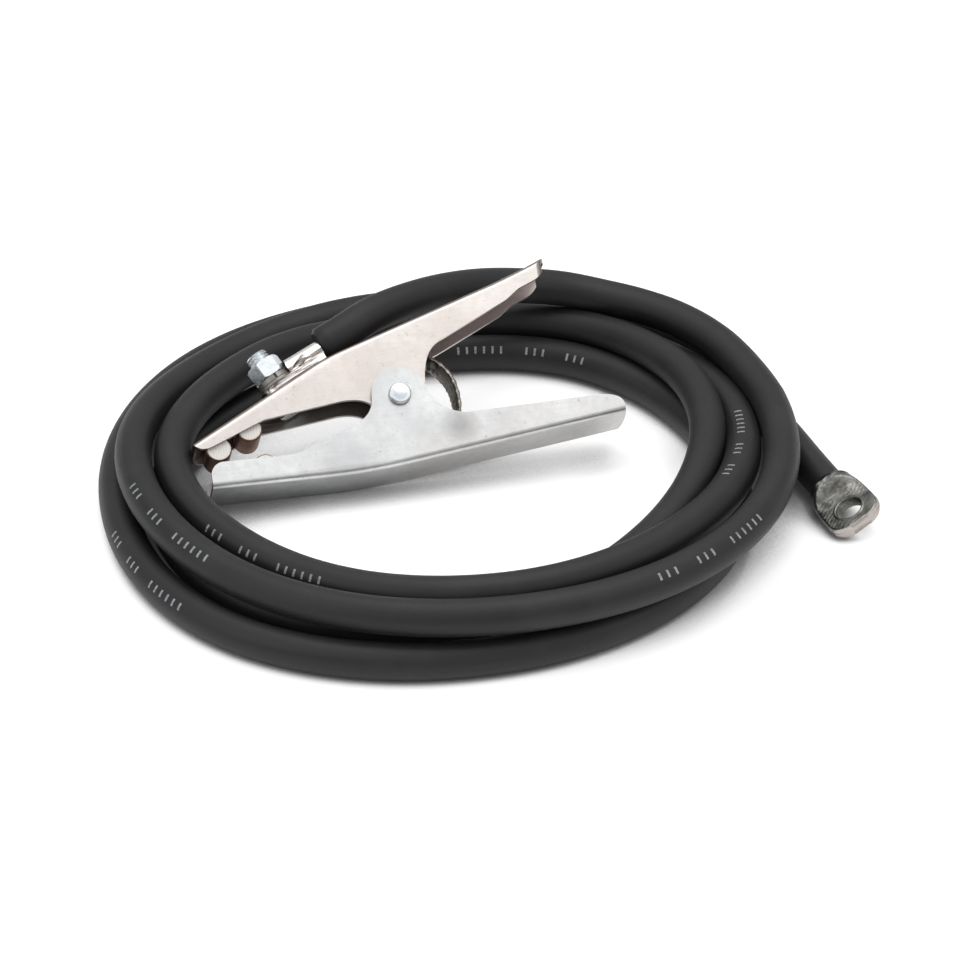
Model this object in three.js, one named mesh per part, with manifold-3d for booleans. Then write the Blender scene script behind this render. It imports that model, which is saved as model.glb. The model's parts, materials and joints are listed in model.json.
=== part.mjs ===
// Welding ground clamp with its coiled lead, in millimetres, +Z up.
//
// The clamp is two stamped steel channels on one rivet. It leans on the lower arm's folded edge,
// and its lead lies beside and under it in a loose coil of four turns that ends in a heavy lug.
// The origin is on the surface that everything lies on, under the middle of the bare clamp.
//
// The clamp is drawn in its own flat frame: x along the lower jaw towards the handles, y across
// the arms from lower to upper, z across the channels, with the pivot's centre at 0, 0, 0.

import * as THREE from 'three';
import { mergeVertices } from 'three/addons/utils/BufferGeometryUtils.js';
import Module from 'manifold-3d';

const wasm = await Module();
wasm.setup();

// ---------------------------------------------------------------- driving dimensions

const GAP = 0.3;                    // clearance between pieces that touch
const LEAN = THREE.MathUtils.degToRad(40);   // how far the clamp leans back from upright

const SHEET = 2;                    // thickness of the stamped steel
const FOLD = 2.6;                   // outer radius of the channels' folds
const LOWER_WIDTH = 29;             // across the lower channel, outside
const NEST = 0.4;                   // side clearance between the nested channels
const UPPER_WIDTH = LOWER_WIDTH - 2 * (SHEET + NEST);
const UPPER_INSIDE = UPPER_WIDTH - 2 * SHEET;

const RIVET_RADIUS = 4;
const RIVET_HEAD_RADIUS = 5;
const RIVET_HEAD_HEIGHT = 2;
const EAR_RADIUS = 12.8;            // lower arm's ears round the rivet

const LOWER_WEB_Y = -34.6;          // outer face of the lower jaw's web
const LOWER_TIP_X = -89;
const LOWER_END_X = 101;
const LOWER_RISE = 0.135;           // slope of the lower handle
const UPPER_TIP = new THREE.Vector2(-95, -12.2);
const UPPER_JAW_SLOPE = 0.535;      // slope of the upper jaw's web
const UPPER_HANDLE_SLOPE = 0.334;   // slope of the upper handle's web

const CONTACT_RADIUS = 5.8;         // copper contact rods
const CONTACT_SPACING = 16.7;       // between the two upper rods

const BOLT_RADIUS = 4.75;           // 3/8 inch terminal bolt
const HEX_FLATS = 14.3;
const BOLT_TOP = 20.4;              // free end of the bolt above the web
const NUT_HEIGHT = 8.2;
const LOCK_WASHER_HEIGHT = 2.2;
const FLAT_WASHER_HEIGHT = 1.6;
const TONGUE_HEIGHT = 2.6;          // clamp lug's flat tongue

const BRAID_WIDTH = 14.4;
const BRAID_FLARE = 4.4;            // how much wider it spreads behind the pivot
const BRAID_THICKNESS = 2.6;

const WIRE_RADIUS = 1.1;            // torsion spring
const SPRING_RADIUS = 9.5;
const SPRING_TURNS = 5;

const LEAD_DIAMETER = 16.5;         // 2/0 welding cable over its rubber jacket
const LEAD_RADIUS = LEAD_DIAMETER / 2;
const CORE_RADIUS = 5.7;            // its bundle of fine copper wires

// ---------------------------------------------------------------- small tools

const v2 = (x, y) => new THREE.Vector2(x, y);
const v3 = (x, y, z = 0) => new THREE.Vector3(x, y, z);

function toSolid(geometry) {
  const bare = geometry.index ? geometry.toNonIndexed() : geometry.clone();
  for (const name of Object.keys(bare.attributes)) {
    if (name !== 'position') bare.deleteAttribute(name);
  }
  const merged = mergeVertices(bare, 1e-4);
  return new wasm.Manifold(new wasm.Mesh({
    numProp: 3,
    vertProperties: new Float32Array(merged.attributes.position.array),
    triVerts: new Uint32Array(merged.index.array),
  }));
}

function toGeometry(solid) {
  const mesh = solid.getMesh();
  const geometry = new THREE.BufferGeometry();
  geometry.setAttribute('position', new THREE.BufferAttribute(mesh.vertProperties.slice(), 3));
  geometry.setIndex(new THREE.BufferAttribute(mesh.triVerts.slice(), 1));
  geometry.computeVertexNormals();
  return geometry;
}

function steel(color, roughness) {
  return new THREE.MeshStandardMaterial({ color, roughness, metalness: 1 });
}

function named(name, shape, material) {
  const geometry = shape.isBufferGeometry ? shape : toGeometry(shape);
  const mesh = new THREE.Mesh(geometry, material);
  mesh.name = name;
  return mesh;
}

// A flat outline given thickness across the clamp, centred on its middle plane.
function slab(outline, width, curveSegments = 8) {
  const geometry = new THREE.ExtrudeGeometry(outline, {
    depth: width, bevelEnabled: false, curveSegments,
  });
  geometry.translate(0, 0, -width / 2);
  return geometry;
}

// A round bar or disc across the clamp, centred on the middle plane.
function crossBar(radius, length, x, y, segments = 32) {
  const geometry = new THREE.CylinderGeometry(radius, radius, length, segments);
  geometry.rotateX(Math.PI / 2);
  geometry.translate(x, y, 0);
  return geometry;
}

// A section swept along a curve: the section's y points to the left of the curve's direction.
function sweep(section, path, steps, curveSegments = 4) {
  return new THREE.ExtrudeGeometry(section, {
    steps, bevelEnabled: false, extrudePath: path, curveSegments,
  });
}

// A closed solid through rings of points of equal length, capped at both ends.
function loft(rings, closed = false) {
  const count = rings[0].length;
  const points = rings.flat();
  const index = [];
  const spans = closed ? rings.length : rings.length - 1;
  for (let i = 0; i < spans; i += 1) {
    const here = i * count;
    const next = ((i + 1) % rings.length) * count;
    for (let j = 0; j < count; j += 1) {
      const k = (j + 1) % count;
      index.push(here + j, here + k, next + k, here + j, next + k, next + j);
    }
  }
  if (!closed) {
    const last = (rings.length - 1) * count;
    for (let j = 1; j < count - 1; j += 1) {
      index.push(0, j + 1, j, last, last + j, last + j + 1);
    }
  }
  const geometry = new THREE.BufferGeometry().setFromPoints(points);
  geometry.setIndex(index);
  return geometry;
}

function circleSection(radius, sides) {
  const points = [];
  for (let i = 0; i < sides; i += 1) {
    const angle = (i + 0.5) / sides * 2 * Math.PI;
    points.push(v2(radius * Math.cos(angle), radius * Math.sin(angle)));
  }
  return new THREE.Shape(points);
}

// Frame of the upper jaw's web: origin on its outer face, x up the jaw, y away from the web.
function onUpperJaw(geometry, x) {
  const angle = Math.atan(UPPER_JAW_SLOPE);
  const base = UPPER_TIP.clone().add(v2(Math.cos(angle), Math.sin(angle)).multiplyScalar(x));
  geometry.rotateZ(angle);
  geometry.translate(base.x, base.y, 0);
  return geometry;
}

// ---------------------------------------------------------------- arms

// U-shaped section: web along y = 0, walls rising towards +y or, for side -1, towards -y.
function channelSection(width, wall, side) {
  const half = width / 2;
  const inner = FOLD - SHEET;
  const shape = new THREE.Shape();
  shape.moveTo(half, side * wall);
  shape.lineTo(half, side * FOLD);
  shape.absarc(half - FOLD, side * FOLD, FOLD, 0, -side * Math.PI / 2, side > 0);
  shape.absarc(FOLD - half, side * FOLD, FOLD, -side * Math.PI / 2, -side * Math.PI, side > 0);
  shape.lineTo(-half, side * wall);
  shape.lineTo(SHEET - half, side * wall);
  shape.absarc(FOLD - half, side * FOLD, inner, Math.PI, Math.PI + side * Math.PI / 2, side < 0);
  shape.absarc(half - FOLD, side * FOLD, inner, -side * Math.PI / 2, 0, side < 0);
  shape.lineTo(half - SHEET, side * wall);
  return shape;
}

// Lines joined by quadratic bends: points come as corner, bend start, bend control, bend end...
function bentPath(points) {
  const path = new THREE.CurvePath();
  path.add(new THREE.LineCurve3(points[0], points[1]));
  for (let i = 1; i + 2 < points.length; i += 3) {
    path.add(new THREE.QuadraticBezierCurve3(points[i], points[i + 1], points[i + 2]));
    path.add(new THREE.LineCurve3(points[i + 2], points[i + 3]));
  }
  return path;
}

function lowerWebY(x) {
  const bendX = -18;
  return LOWER_WEB_Y + Math.max(0, x - bendX) * LOWER_RISE;
}

function lowerArm() {
  const reach = 6;
  const web = bentPath([
    v3(LOWER_TIP_X - reach, LOWER_WEB_Y),
    v3(-36, LOWER_WEB_Y), v3(-18, LOWER_WEB_Y), v3(0, lowerWebY(0)),
    v3(LOWER_END_X + reach, lowerWebY(LOWER_END_X + reach)),
  ]);
  const channel = toSolid(sweep(channelSection(LOWER_WIDTH, 60, 1), web, 24, 6));

  const side = new THREE.Shape();
  const bottom = LOWER_WEB_Y - 8;
  const jawTop = -23;
  const corner = 6;
  side.moveTo(LOWER_TIP_X, bottom);
  side.lineTo(LOWER_TIP_X, jawTop - corner);
  side.absarc(LOWER_TIP_X + corner, jawTop - corner, corner, Math.PI, Math.PI / 2, true);
  side.lineTo(-54, jawTop);
  side.quadraticCurveTo(-48, jawTop, -42, -19.5);
  side.lineTo(-24, -13);
  side.quadraticCurveTo(-13, -9, -EAR_RADIUS, 0);
  side.absarc(0, 0, EAR_RADIUS, Math.PI, Math.PI / 6, true);
  side.quadraticCurveTo(14.5, -9.5, 29, -11.6);
  side.lineTo(90, -9.7);
  side.quadraticCurveTo(LOWER_END_X, -10, LOWER_END_X, lowerWebY(LOWER_END_X) + FOLD);
  side.lineTo(LOWER_END_X + 2, lowerWebY(LOWER_END_X) + FOLD);
  side.lineTo(LOWER_END_X + 2, bottom);

  return channel
    .intersect(toSolid(slab(side, LOWER_WIDTH + 2, 10)))
    .intersect(lowerPlan())
    .subtract(toSolid(crossBar(RIVET_RADIUS + GAP, LOWER_WIDTH + 2, 0, 0)));
}

// Seen along the arms' swing, the lower handle's web ends in a shallow curve.
function lowerPlan() {
  const half = LOWER_WIDTH / 2;
  const plan = new THREE.Shape();
  plan.moveTo(-140, -half - 1);
  plan.lineTo(LOWER_END_X - 2, -half - 1);
  plan.quadraticCurveTo(LOWER_END_X, -half, LOWER_END_X + 0.6, 4 - half);
  plan.quadraticCurveTo(LOWER_END_X + 2, 0, LOWER_END_X, half);
  plan.lineTo(LOWER_END_X, half + 1);
  plan.lineTo(-140, half + 1);
  return swingPrism(plan);
}

// A flat outline drawn in x and z, as a tall prism along the arms' swing.
function swingPrism(plan) {
  const geometry = new THREE.ExtrudeGeometry(plan, {
    depth: 200, bevelEnabled: false, curveSegments: 10,
  });
  geometry.rotateX(Math.PI / 2);
  geometry.translate(0, 100, 0);
  return toSolid(geometry);
}

function upperJawY(x) {
  return UPPER_TIP.y + (x - UPPER_TIP.x) * UPPER_JAW_SLOPE;
}

const UPPER_BEND_X = -30;
const UPPER_BEND_HALF = 9;

function upperHandleY(x) {
  return upperJawY(UPPER_BEND_X) + (x - UPPER_BEND_X) * UPPER_HANDLE_SLOPE;
}

function upperArm() {
  const reach = 6;
  const tipX = 75.5;
  const liftX = 50;                 // where the handle bends up a little
  const lipX = 66;                  // where its lip bends up further
  const liftY = (x) => upperHandleY(liftX) + (x - liftX) * 0.38;
  const lipY = (x) => liftY(lipX) + (x - lipX) * 0.45;
  const web = bentPath([
    v3(UPPER_TIP.x - reach, upperJawY(UPPER_TIP.x - reach)),
    v3(UPPER_BEND_X - UPPER_BEND_HALF, upperJawY(UPPER_BEND_X - UPPER_BEND_HALF)),
    v3(UPPER_BEND_X, upperJawY(UPPER_BEND_X)),
    v3(UPPER_BEND_X + UPPER_BEND_HALF, upperHandleY(UPPER_BEND_X + UPPER_BEND_HALF)),
    v3(liftX - 4, upperHandleY(liftX - 4)),
    v3(liftX, upperHandleY(liftX)),
    v3(liftX + 4, liftY(liftX + 4)),
    v3(lipX - 3, liftY(lipX - 3)),
    v3(lipX, liftY(lipX)),
    v3(lipX + 3, lipY(lipX + 3)),
    v3(tipX + reach, lipY(tipX + reach)),
  ]);
  const channel = toSolid(sweep(channelSection(UPPER_WIDTH, 60, -1), web, 32, 6));

  const side = new THREE.Shape();
  const boss = 12.4;
  const top = 90;
  side.moveTo(UPPER_TIP.x, upperJawY(UPPER_TIP.x) + 12);
  side.lineTo(UPPER_TIP.x, -12.6);
  side.quadraticCurveTo(-92.5, -16.6, -87, -14.8);
  side.lineTo(-62, -4.6);
  side.lineTo(-26, 0.4);
  side.quadraticCurveTo(-15, 1, -boss * Math.cos(0.35), -boss * Math.sin(0.35));
  side.absarc(0, 0, boss, Math.PI + 0.35, 2 * Math.PI, false);
  side.quadraticCurveTo(boss, 21.5, 24, 25.2);
  side.lineTo(55, 40.4);
  side.lineTo(61.5, 45.2);
  side.lineTo(69.5, 48.6);
  side.quadraticCurveTo(74, 51, tipX, 56.6);
  side.lineTo(tipX, top);
  side.lineTo(0, top);

  const boltHole = onUpperJaw(upright(BOLT_RADIUS + GAP, -6, 6), BOLT_ALONG);
  return channel
    .intersect(toSolid(slab(side, UPPER_WIDTH + 2, 10)))
    .subtract(toSolid(crossBar(RIVET_RADIUS + GAP, UPPER_WIDTH + 2, 0, 0)))
    .subtract(toSolid(boltHole))
    .intersect(tipOutline(tipX));
}

// Seen from above, the upper handle's lip ends in round corners.
function tipOutline(tipX) {
  const half = UPPER_WIDTH / 2 + 0.5;
  const corner = 7;
  const plan = new THREE.Shape();
  plan.moveTo(-140, -half);
  plan.lineTo(tipX - corner, -half);
  plan.absarc(tipX - corner, corner - half, corner, -Math.PI / 2, 0, false);
  plan.absarc(tipX - corner, half - corner, corner, 0, Math.PI / 2, false);
  plan.lineTo(-140, half);
  return swingPrism(plan);
}

// ---------------------------------------------------------------- pivot

function pivotRivet() {
  const half = LOWER_WIDTH / 2 + GAP;
  const head = half + RIVET_HEAD_HEIGHT;
  const profile = [
    v2(0, -head), v2(RIVET_HEAD_RADIUS * 0.7, -head), v2(RIVET_HEAD_RADIUS, -half - 0.9),
    v2(RIVET_HEAD_RADIUS, -half), v2(RIVET_RADIUS, -half), v2(RIVET_RADIUS, half),
    v2(RIVET_HEAD_RADIUS, half), v2(RIVET_HEAD_RADIUS, half + 0.9),
    v2(RIVET_HEAD_RADIUS * 0.72, head), v2(RIVET_HEAD_RADIUS * 0.5, head - 0.35), v2(0, head - 0.6),
  ];
  return new THREE.LatheGeometry(profile, 32).rotateX(Math.PI / 2);
}

function springBushing() {
  const half = UPPER_INSIDE / 2 - GAP;
  const inner = RIVET_RADIUS + GAP;
  const outer = inner + 2;
  const profile = [v2(inner, -half), v2(outer, -half), v2(outer, half), v2(inner, half)];
  profile.push(profile[0].clone());
  return new THREE.LatheGeometry(profile, 24).rotateX(Math.PI / 2);
}

// Coil spring round the bushing: one leg presses on each handle's web.
function torsionSpring() {
  const halfLength = UPPER_INSIDE / 2 - GAP - WIRE_RADIUS;
  const legX = 15;
  const upperLeg = v3(legX, upperHandleY(legX) - SHEET / Math.cos(0.32) - WIRE_RADIUS - 0.6, halfLength);
  const lowerLeg = v3(legX, lowerWebY(legX) + SHEET + WIRE_RADIUS + 0.7, -halfLength);
  const startAngle = 0.72 * Math.PI;
  const endAngle = 1.28 * Math.PI + 2 * Math.PI * (SPRING_TURNS - 1);
  const points = [upperLeg, v3(5.5, 20, halfLength)];
  const steps = SPRING_TURNS * 12;
  for (let i = 0; i <= steps; i += 1) {
    const t = i / steps;
    const angle = startAngle + (endAngle - startAngle) * t;
    points.push(v3(
      SPRING_RADIUS * Math.cos(angle), SPRING_RADIUS * Math.sin(angle), halfLength * (1 - 2 * t),
    ));
  }
  points.push(v3(5.5, -19, -halfLength), lowerLeg);
  const path = new THREE.CatmullRomCurve3(points, false, 'centripetal');
  return sweep(circleSection(WIRE_RADIUS, 8), path, 84);
}

// ---------------------------------------------------------------- contacts and braid

function contactRod(length) {
  const bevel = 0.7;
  const half = length / 2;
  const profile = [
    v2(0, -half), v2(CONTACT_RADIUS - bevel, -half), v2(CONTACT_RADIUS, -half + bevel),
    v2(CONTACT_RADIUS, half - bevel), v2(CONTACT_RADIUS - bevel, half), v2(0, half),
  ];
  return new THREE.LatheGeometry(profile, 28).rotateX(Math.PI / 2);
}

function upperContact(index) {
  const rod = contactRod(UPPER_INSIDE - 2 * GAP);
  const below = -(SHEET + CONTACT_RADIUS + 0.4);
  rod.translate(0, below, 0);
  return onUpperJaw(rod, 8.6 + CONTACT_SPACING * index);
}

const LOWER_CONTACT_X = -64;

function lowerContact() {
  const rod = contactRod(LOWER_WIDTH - 2 * SHEET - 2 * GAP);
  return rod.translate(LOWER_CONTACT_X, LOWER_WEB_Y + SHEET + CONTACT_RADIUS + 0.4, 0);
}

const BOLT_ALONG = 50.4;            // bolt's distance from the upper arm's tip, along the jaw

// Flat woven strap from under the terminal bolt, round behind the pivot, to the lower contact.
function braidStrap() {
  const half = BRAID_THICKNESS / 2;
  const under = SHEET + GAP + half;
  const jaw = Math.atan(UPPER_JAW_SLOPE);
  const along = (s) => v3(
    UPPER_TIP.x + s * Math.cos(jaw) + under * Math.sin(jaw),
    UPPER_TIP.y + s * Math.sin(jaw) - under * Math.cos(jaw),
  );
  const floor = LOWER_WEB_Y + SHEET + GAP + half;
  const path = new THREE.CatmullRomCurve3([
    along(BOLT_ALONG - 9), along(BOLT_ALONG), along(BOLT_ALONG + 9),
    v3(-24, 18.6), v3(-7, 22.8), v3(6, 22.6), v3(17.4, 17.6), v3(24.9, 8.8), v3(27.2, -1),
    v3(26.2, -10), v3(20.6, -18), v3(8.6, -24.6), v3(-8, -28.6),
    v3(-24, floor + 0.4), v3(-38, floor), v3(-50, floor), v3(LOWER_CONTACT_X + CONTACT_RADIUS + 0.6, floor),
  ], false, 'centripetal');
  const steps = 60;
  const rings = [];
  for (let i = 0; i <= steps; i += 1) {
    const centre = path.getPointAt(i / steps);
    const ahead = path.getTangentAt(i / steps);
    const flare = THREE.MathUtils.smoothstep(centre.x, 12, 24);
    const width = (BRAID_WIDTH + BRAID_FLARE * flare) / 2;
    const corner = (out, side) => v3(
      centre.x - ahead.y * out * half, centre.y + ahead.x * out * half, side * width,
    );
    rings.push([corner(1, 1), corner(-1, 1), corner(-1, -1), corner(1, -1)]);
  }
  const hole = onUpperJaw(upright(BOLT_RADIUS + GAP, -8, 0), BOLT_ALONG);
  return toSolid(loft(rings)).subtract(toSolid(hole));
}

// ---------------------------------------------------------------- terminal bolt and lug

// A round bar standing on the upper jaw's web, from one height to another.
function upright(radius, low, high, segments = 28) {
  const geometry = new THREE.CylinderGeometry(radius, radius, high - low, segments);
  return geometry.translate(0, (low + high) / 2, 0);
}

function hexPrism(low, high) {
  const radius = HEX_FLATS / Math.sqrt(3);
  const geometry = new THREE.CylinderGeometry(radius, radius, high - low, 6);
  geometry.rotateY(Math.PI / 6);
  const chamfer = new THREE.LatheGeometry([
    v2(0, low - 0.01), v2(radius * 0.9, low - 0.01), v2(radius + 0.3, low + 1),
    v2(radius + 0.3, high - 1), v2(radius * 0.9, high + 0.01), v2(0, high + 0.01),
  ], 30);
  return toSolid(geometry.translate(0, (low + high) / 2, 0)).intersect(toSolid(chamfer));
}

function terminalBolt() {
  const headTop = -(SHEET + BRAID_THICKNESS + 2 * GAP);
  const profile = [
    v2(0, headTop - 1), v2(BOLT_RADIUS, headTop - 1), v2(BOLT_RADIUS, BOLT_TOP - 1.2),
    v2(BOLT_RADIUS - 1.2, BOLT_TOP), v2(0, BOLT_TOP),
  ];
  const shank = toSolid(new THREE.LatheGeometry(profile, 28));
  return onUpperJaw(toGeometry(shank.add(hexPrism(headTop - 5.6, headTop))), BOLT_ALONG);
}

const TONGUE_LOW = GAP;
const TONGUE_TOP = TONGUE_LOW + TONGUE_HEIGHT;
const FLAT_WASHER_LOW = TONGUE_TOP + GAP;
const LOCK_WASHER_LOW = FLAT_WASHER_LOW + FLAT_WASHER_HEIGHT + GAP;
const NUT_LOW = LOCK_WASHER_LOW + LOCK_WASHER_HEIGHT + GAP;

function washer(low, height, outer) {
  const inner = BOLT_RADIUS + GAP;
  const high = low + height;
  const ring = new THREE.LatheGeometry(
    [v2(inner, low), v2(outer, low), v2(outer, high), v2(inner, high), v2(inner, low)], 28,
  );
  return toSolid(ring);
}

function flatWasher() {
  return onUpperJaw(toGeometry(washer(FLAT_WASHER_LOW, FLAT_WASHER_HEIGHT, 8.4)), BOLT_ALONG);
}

// Spring washer with its slanting split.
function lockWasher() {
  const split = new THREE.BoxGeometry(1.2, 12, 8).rotateX(0.5);
  split.translate(0, LOCK_WASHER_LOW, 8.5);
  const ring = washer(LOCK_WASHER_LOW, LOCK_WASHER_HEIGHT, 7.8).subtract(toSolid(split));
  return onUpperJaw(toGeometry(ring), BOLT_ALONG);
}

function terminalNut() {
  const bore = upright(BOLT_RADIUS + GAP, NUT_LOW - 1, NUT_LOW + NUT_HEIGHT + 1);
  const nut = hexPrism(NUT_LOW, NUT_LOW + NUT_HEIGHT).subtract(toSolid(bore));
  return onUpperJaw(toGeometry(nut), BOLT_ALONG);
}

// Where the jacket starts: in the clamp's flat frame, with the direction the lead leaves in.
const JACKET_START = v3(-30.8, 31);
const JACKET_ANGLE = THREE.MathUtils.degToRad(26);
const JACKET_DIRECTION = v3(Math.cos(JACKET_ANGLE), Math.sin(JACKET_ANGLE));
const BARREL_RADIUS = 4.7;
const BARREL_DROP = 1.8;            // how far its middle lies nearer the web than the lead's
const CRIMPED_RADIUS = 3.4;         // the wires, pressed together in the barrel
const BARREL_LENGTH = 22;
const BARREL_GAP = 0.8;             // between the barrel and the cut end of the jacket

function alongBarrel(geometry, distance) {
  const start = JACKET_START.clone().addScaledVector(JACKET_DIRECTION, distance);
  start.add(v3(Math.sin(JACKET_ANGLE), -Math.cos(JACKET_ANGLE)).multiplyScalar(BARREL_DROP));
  geometry.rotateZ(JACKET_ANGLE - Math.PI / 2);
  return geometry.translate(start.x, start.y, 0);
}

// Tinned lug: a flat tongue under the nut, cranked up into a crimped barrel.
function clampLug() {
  const tongue = new THREE.Shape();
  const nose = 9.5;
  const end = 24;
  tongue.moveTo(end, -8);
  tongue.lineTo(end, 8);
  tongue.lineTo(6, nose);
  tongue.lineTo(0, nose);
  tongue.absarc(0, 0, nose, Math.PI / 2, 3 * Math.PI / 2, false);
  tongue.lineTo(6, -nose);
  const plate = new THREE.ExtrudeGeometry(tongue, {
    depth: TONGUE_HEIGHT, bevelEnabled: false, curveSegments: 10,
  });
  plate.rotateX(-Math.PI / 2);
  plate.translate(0, TONGUE_LOW, 0);
  const hole = onUpperJaw(upright(BOLT_RADIUS + GAP, -2, 8), BOLT_ALONG);
  const barrel = alongBarrel(
    new THREE.CylinderGeometry(BARREL_RADIUS, BARREL_RADIUS, BARREL_LENGTH, 28),
    -BARREL_GAP - BARREL_LENGTH / 2,
  );
  const bore = alongBarrel(
    new THREE.CylinderGeometry(CRIMPED_RADIUS + GAP, CRIMPED_RADIUS + GAP, BARREL_LENGTH, 24),
    6 - BARREL_LENGTH / 2,
  );
  const nutRoom = onUpperJaw(upright(8.8, TONGUE_TOP, 20), BOLT_ALONG);
  return toSolid(onUpperJaw(plate, BOLT_ALONG))
    .add(toSolid(barrel).add(toSolid(lugShoulder())).subtract(toSolid(nutRoom)))
    .subtract(toSolid(hole))
    .subtract(toSolid(bore));
}

// Where the lug's barrel flattens into its tongue. Each station: distance from the bolt, height
// of the middle, half width, half height.
function lugShoulder() {
  const stations = [
    [1, 1.7, 8.8, 1.3], [6, 2.5, 8.6, 2.1], [11, 4, 7.4, 3.6], [16, 5.6, 5.6, 4.5], [20, 6.1, 4.6, 4.6],
  ];
  const sides = 20;
  const rings = stations.map(([distance, middle, width, height]) => {
    const ring = [];
    for (let i = 0; i < sides; i += 1) {
      const angle = 2 * Math.PI * i / sides;
      ring.push(v3(distance, middle + height * Math.cos(angle), width * Math.sin(angle)));
    }
    return ring;
  });
  return onUpperJaw(loft(rings), BOLT_ALONG);
}

function clampCore() {
  const length = BARREL_LENGTH - 7;
  return alongBarrel(
    new THREE.CylinderGeometry(CRIMPED_RADIUS, CRIMPED_RADIUS, length, 20), -GAP - length / 2,
  );
}

// ---------------------------------------------------------------- the clamp, leaning

const UPPER_ZINC = steel(0xcbb9b0, 0.32);
const LOWER_ZINC = steel(0xd3d5d8, 0.3);
const PLATED = steel(0xc9ced2, 0.25);
const SPRING_STEEL = steel(0x5b5e63, 0.45);
const COPPER = steel(0xa97a63, 0.4);
const BRAID = steel(0x77736c, 0.6);
const TINNED = steel(0xd9d8d4, 0.28);
const TARNISHED = steel(0x77776f, 0.55);
const RUBBER = new THREE.MeshStandardMaterial({ color: 0x2b2d2f, roughness: 0.75, metalness: 0 });

const clamp = new THREE.Group();
clamp.rotation.x = LEAN;
clamp.add(
  named('lower_arm', lowerArm(), LOWER_ZINC),
  named('upper_arm', upperArm(), UPPER_ZINC),
  named('pivot_rivet', pivotRivet(), PLATED),
  named('spring_bushing', springBushing(), SPRING_STEEL),
  named('torsion_spring', torsionSpring(), SPRING_STEEL),
  named('upper_contact_front', upperContact(0), COPPER),
  named('upper_contact_rear', upperContact(1), COPPER),
  named('lower_contact', lowerContact(), COPPER),
  named('braid_strap', braidStrap(), BRAID),
  named('terminal_bolt', terminalBolt(), PLATED),
  named('flat_washer', flatWasher(), PLATED),
  named('lock_washer', lockWasher(), PLATED),
  named('terminal_nut', terminalNut(), PLATED),
  named('clamp_lug', clampLug(), TINNED),
  named('clamp_core', clampCore(), COPPER),
);

// The lower arm's far fold rests on the surface: the pivot stands this much higher.
const PIVOT_HEIGHT = FOLD - (LOWER_WEB_Y + FOLD) * Math.sin(LEAN)
  + (LOWER_WIDTH / 2 - FOLD) * Math.cos(LEAN);
clamp.position.z = PIVOT_HEIGHT;

// ---------------------------------------------------------------- the lead

// From here on, places are measured from the point on the surface under the pivot.
const COIL_CENTRE = v3(20.9, -17);

// Where each turn crosses the eight bearings, 45 degrees apart and clockwise from bearing 90:
// distance from the coil's centre, then height of the lead's middle.
const COIL_TURNS = [
  [[147.5, 25.5], [153.5, 27], [151.5, 27], [148.5, 24.5], [143, 26.5], [131, 17.5], [125, 17.5], [133.6, 9]],
  [[132, 19.5], [133.5, 28], [134, 27.5], [125, 20.5], [125.5, 24.5], [107, 26], [107.5, 17.5], [120, 19.4]],
  [[117, 26.5], [115.5, 19.2], [125.5, 10], [141, 8.4], [129.5, 8.3], [101, 8.3], [94.3, 8.4], [107.5, 8.5]],
  [[119.5, 8.3], [141, 8.8], [153, 8.5], [163.3, 8.3], [150.8, 8.3], [145, 8.3], [139.5, 8.4], [150.5, 8.3]],
];
const BEARING_STEP = 45;
const COIL_START = 90;
const COIL_END = COIL_START + BEARING_STEP * (COIL_TURNS.flat().length - 1);

// Radius and height of the lead's middle at a bearing, by a cubic through the stations.
function coilStation(bearing) {
  const stations = COIL_TURNS.flat();
  const position = (bearing - COIL_START) / BEARING_STEP;
  const i = Math.min(Math.max(Math.floor(position), 0), stations.length - 2);
  const t = position - i;
  const at = (k) => stations[Math.min(Math.max(k, 0), stations.length - 1)];
  return [0, 1].map((part) => {
    const [a, b, c, d] = [at(i - 1)[part], at(i)[part], at(i + 1)[part], at(i + 2)[part]];
    return b + 0.5 * t * (c - a + t * (2 * a - 5 * b + 4 * c - d + t * (3 * (b - c) + d - a)));
  });
}

function coilPoint(bearing) {
  const [radius, height] = coilStation(bearing);
  const angle = THREE.MathUtils.degToRad(bearing);
  return v3(
    COIL_CENTRE.x + radius * Math.sin(angle), COIL_CENTRE.y + radius * Math.cos(angle),
    Math.max(height, LEAD_RADIUS),
  );
}

// Jacket's start and direction, turned from the clamp's flat frame into the leaning one.
function lean(vector) {
  return vector.clone().applyAxisAngle(v3(1, 0, 0), LEAN);
}
const LEAD_START = lean(JACKET_START).add(v3(0, 0, PIVOT_HEIGHT));
const LEAD_DIRECTION = lean(JACKET_DIRECTION);

// The stretch that rises from the lug, passes behind the upper handle and lands on the coil.
const CLAMP_STRETCH = [
  LEAD_START,
  LEAD_START.clone().addScaledVector(LEAD_DIRECTION, 13.5),
  v3(-5.7, 36, 58.4), v3(10.8, 46.3, 57.5), v3(30.8, 58.8, 53.7),
  v3(52, 71.3, 47.2), v3(73.6, 79.8, 40.1), v3(93.4, 82.4, 34.8), v3(111.6, 77.6, 31.2),
  v3(128.4, 69.3, 29), v3(144.2, 55.6, 27.5), v3(158.4, 31.6, 26.2),
  coilPoint(COIL_START),
];

// The stretch that leaves from under the coil and runs out to the end lug.
const LUG_START = v3(184.2, -71, 9.2);
const LUG_DIRECTION = v3(0.21, -0.978).normalize();
const LUG_ROLL = THREE.MathUtils.degToRad(28);   // how far the end lug is turned about the lead
const LUG_STRETCH = [
  coilPoint(COIL_END), v3(141, 74.3, 8.3), v3(152, 55.2, 8.3), v3(161, 31, 8.4), v3(169.1, 4.8, 8.5),
  v3(175.1, -22.5, 8.7), v3(179.8, -48.5, 8.9), LUG_START,
];

const CLAMP_STEPS = 14;
const LUG_STEPS = 8;

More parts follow.
